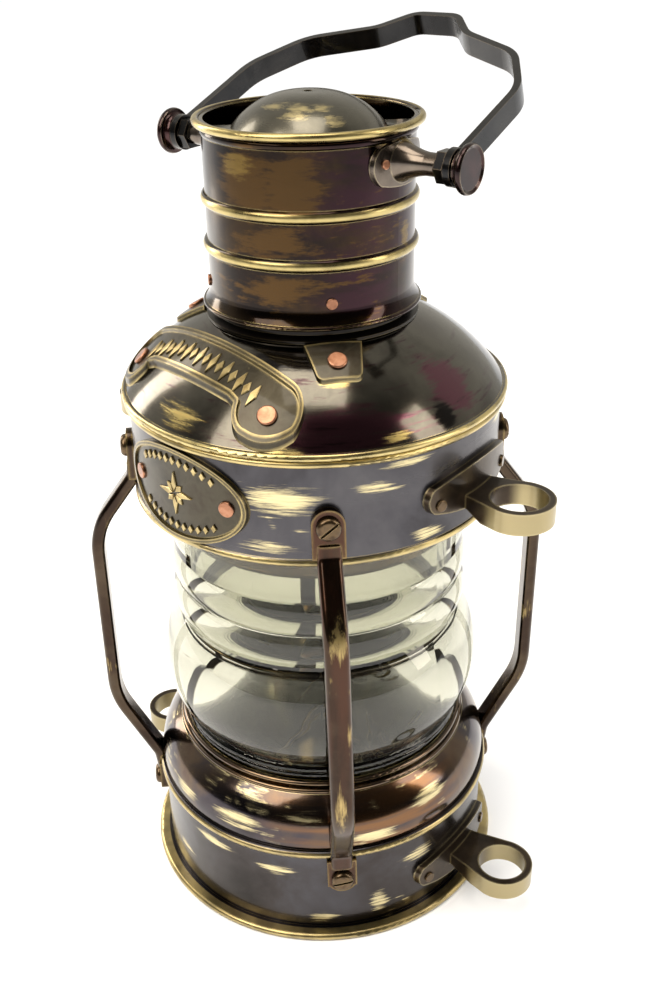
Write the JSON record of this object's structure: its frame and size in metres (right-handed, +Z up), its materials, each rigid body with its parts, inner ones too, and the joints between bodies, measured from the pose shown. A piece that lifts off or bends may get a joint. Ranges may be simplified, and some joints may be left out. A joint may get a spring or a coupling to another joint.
{
  "type": "ship lantern",
  "caption": "Round aged-brass ship's anchor lantern with a bulged clear lens behind guard rods, side guide eyes, chimney, folding bail and a bayonet oil font.",
  "frame": {"origin": "centre of the flat ring under the foot, on the lantern's axis", "axes": "+Z up the lantern's axis, +X through the guide eyes and bail pivots, -Y the side with the two nameplates"},
  "size_m": [0.2386, 0.1853, 0.3865],
  "materials": {
    "drum_brass": "aged satin lacquer",
    "dark_brass": "dark bronze lacquer, polished",
    "cast_brass": "aged cast, worn on the edges",
    "plate_brass": "etched, dark ground and bright border",
    "copper": "bright copper-coloured rivet",
    "screw_brass": "worn",
    "ear_brass": "glossy, copper tinted",
    "black_steel": "black enamel",
    "burner_brass": "bright",
    "burner_tube": "heat-browned",
    "lens_glass": "clear, faintly green",
    "seal": "matt",
    "cotton": "woven"
  },
  "bodies": {
    "lantern_body": {"arched_plate": "plate_brass", "bail_bracket_left": "ear_brass", "bail_bracket_right": "ear_brass", "bail_bracket_rivets": "copper", "bail_nut_left": "black_steel", "bail_nut_right": "black_steel", "base_shoulder": "drum_brass", "base_wall": "drum_brass", "cap_bolt": "screw_brass", "cap_bracket": "dark_brass", "chimney": "dark_brass", "chimney_rivets": "copper", "dome_cover": "dark_brass", "draught_cone": "dark_brass", "drum_shell": "drum_brass", "eye_lower_left": "cast_brass", "eye_lower_right": "cast_brass", "eye_rivets": "copper", "eye_upper_left": "cast_brass", "eye_upper_right": "cast_brass", "foot_pan": "drum_brass", "gallery_ring": "dark_brass", "guard_1": "cast_brass", "guard_2": "cast_brass", "guard_3": "cast_brass", "guard_4": "cast_brass", "guard_nuts": "screw_brass", "guard_screws_lower": "screw_brass", "guard_screws_upper": "screw_brass", "lens": "lens_glass", "lower_gasket": "seal", "neck_collar": "dark_brass", "neck_tab_1": "dark_brass", "neck_tab_2": "dark_brass", "neck_tab_3": "dark_brass", "neck_tab_rivets": "copper", "oval_plate": "plate_brass", "plate_rivets": "copper", "upper_gasket": "seal", "upper_lens_ring": "dark_brass", "vent_cap": "dark_brass", "wind_baffle": "dark_brass"},
    "bail": {"bail": "black_steel"},
    "thumb_screw_right": {"bail_screw_right": "black_steel"},
    "thumb_screw_left": {"bail_screw_left": "black_steel"},
    "font": {"font_tray": "drum_brass", "tray_grip": "cast_brass", "oil_font": "burner_brass", "burner_collar": "burner_brass", "burner_body": "burner_brass", "flame_tube": "burner_tube", "wick_tube": "burner_brass"},
    "filler_cap": {"filler_cap": "burner_brass"},
    "wick_spindle": {"wick_spindle": "burner_brass", "wick_knob": "burner_brass"},
    "wick": {"wick": "cotton"}
  },
  "joints": [
    {"name": "bail_swing", "type": "hinge", "parent": "lantern_body", "child": "bail", "pos_m": [0, 0, 0.345], "axis": [1, 0, 0], "range_deg": [-66, 200]},
    {"name": "thumb_screw_right_turn", "type": "hinge", "parent": "lantern_body", "child": "thumb_screw_right", "pos_m": [0.068, 0, 0.345], "axis": [1, 0, 0], "range_deg": [0, 360]},
    {"name": "thumb_screw_left_turn", "type": "hinge", "parent": "lantern_body", "child": "thumb_screw_left", "pos_m": [-0.068, 0, 0.345], "axis": [-1, 0, 0], "range_deg": [0, 360]},
    {"name": "font_turn", "type": "hinge", "parent": "lantern_body", "child": "font", "pos_m": [0, 0, 0.004], "axis": [0, 0, 1], "range_deg": [0, 32]},
    {"name": "filler_cap_turn", "type": "hinge", "parent": "font", "child": "filler_cap", "pos_m": [-0.033, 0, 0.065], "axis": [0, 0, 1], "range_deg": [0, 360]},
    {"name": "wick_knob_turn", "type": "hinge", "parent": "font", "child": "wick_spindle", "pos_m": [0, 0.00532, 0.0756], "axis": [-1, 0, 0], "range_deg": [-43, 86]},
    {"name": "wick_rise", "type": "slide", "parent": "font", "child": "wick", "axis": [0, 0, 1], "range_m": [-0.003, 0.006]}
  ],
  "couplings": [
    {"joint": "wick_knob_turn", "follows": "wick_rise", "rad_per_m": 250}
  ]
}
